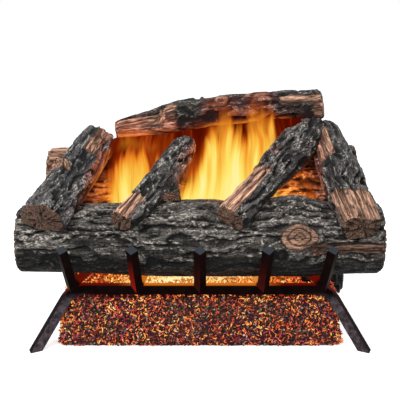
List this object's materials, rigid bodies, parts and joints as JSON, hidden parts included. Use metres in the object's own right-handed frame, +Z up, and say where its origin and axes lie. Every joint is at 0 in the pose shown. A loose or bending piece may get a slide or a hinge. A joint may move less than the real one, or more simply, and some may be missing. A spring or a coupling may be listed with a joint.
{
  "type": "gas log set",
  "caption": "Ceramic logs stacked on a welded bar grate, over an ember-covered gas burner pan with a turn-and-push safety valve and igniter.",
  "frame": {"origin": "middle of the burner pan's underside, on the hearth", "axes": "+X along the logs to the right as seen from the room, -Y towards the room, +Z up"},
  "size_m": [0.596, 0.3584, 0.3857],
  "materials": {
    "ceramic_bark": "matte fissured charred-bark ceramic with brown split-wood faces",
    "black_steel": "satin black paint",
    "galvanised_sheet": "plated sheet steel",
    "bare_tube": "bare steel, heat darkened",
    "sand": "dry silica sand",
    "embers": "loose ember granules, glowing",
    "die_cast_body": "as die cast",
    "brass": "machined",
    "black_plastic": "moulded",
    "aluminium_tube": "drawn tube",
    "copper_lead": "bare copper",
    "white_ceramic": "glazed",
    "zinc_screw": "zinc plated"
  },
  "bodies": {
    "log_set": {"front_log": "ceramic_bark", "rear_log": "ceramic_bark", "top_log": "ceramic_bark", "left_stack_log": "ceramic_bark", "left_rest_log": "ceramic_bark", "right_rest_log": "ceramic_bark", "right_stack_log": "ceramic_bark", "grate_front_bar": "black_steel", "grate_rear_bar": "black_steel", "grate_runner_1": "black_steel", "grate_runner_2": "black_steel", "grate_runner_3": "black_steel", "grate_runner_4": "black_steel", "grate_runner_5": "black_steel", "burner_pan": "black_steel", "heat_shield": "black_steel", "left_tube_bracket": "galvanised_sheet", "right_tube_bracket": "galvanised_sheet", "pilot_bracket": "galvanised_sheet", "valve_bracket": "galvanised_sheet", "front_burner_tube": "bare_tube", "rear_burner_tube": "bare_tube", "front_tube_left_cap": "bare_tube", "front_tube_right_cap": "bare_tube", "rear_tube_left_cap": "bare_tube", "rear_tube_right_cap": "bare_tube", "burner_crossover": "bare_tube", "sand_fill": "sand", "ember_bed": "embers", "valve_body": "die_cast_body", "orifice_fitting": "brass", "gas_inlet_fitting": "brass", "pilot_tube_nut": "brass", "thermocouple_nut": "brass", "pilot_burner": "brass", "igniter_body": "black_plastic", "pilot_tube": "aluminium_tube", "thermocouple": "copper_lead", "spark_electrode": "white_ceramic", "igniter_nut": "zinc_screw", "bracket_screw_front": "zinc_screw", "bracket_screw_rear": "zinc_screw", "valve_screw_left": "zinc_screw", "valve_screw_right": "zinc_screw"},
    "valve_rotor": {"valve_plug": "brass"},
    "knob": {"control_knob": "black_plastic", "valve_stem": "zinc_screw"},
    "igniter_push": {"igniter_button": "black_plastic"}
  },
  "joints": [
    {"name": "knob_turn", "type": "hinge", "parent": "log_set", "child": "valve_rotor", "pos_m": [0.2235, 0.002, 0.0595], "axis": [1, 0, 0], "range_deg": [0, 180]},
    {"name": "knob_press", "type": "slide", "parent": "valve_rotor", "child": "knob", "axis": [-1, 0, 0], "range_m": [0, 0.005], "stiffness_N_per_m": 1200, "springref_m": -0.004},
    {"name": "igniter_press", "type": "slide", "parent": "log_set", "child": "igniter_push", "axis": [-1, 0, 0], "range_m": [0, 0.006], "stiffness_N_per_m": 1000, "springref_m": -0.004}
  ]
}
